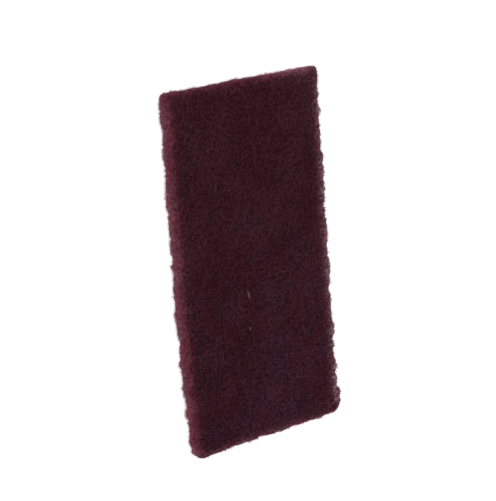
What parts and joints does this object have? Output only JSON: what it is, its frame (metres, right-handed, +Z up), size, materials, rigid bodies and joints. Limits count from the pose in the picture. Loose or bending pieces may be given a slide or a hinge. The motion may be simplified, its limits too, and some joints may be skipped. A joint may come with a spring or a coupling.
{
  "type": "scouring pad",
  "caption": "Flat rectangular maroon scouring pad cut from thick non-woven fibre web, with rough-cut long edges, soft arrises and rounded corners.",
  "frame": {"origin": "under the middle of the pad, on the face that it lies on", "axes": "+X across the pad, +Y along it towards the straighter cut end, +Z up through its thickness"},
  "size_m": [0.1274, 0.2512, 0.012],
  "materials": {
    "fibre_web": "matt maroon web of crimped, resin-bonded synthetic fibres, open and slightly fuzzy, paler along the cut edges"
  },
  "bodies": {
    "root": {"fibre_pad": "fibre_web"}
  },
  "joints": []
}
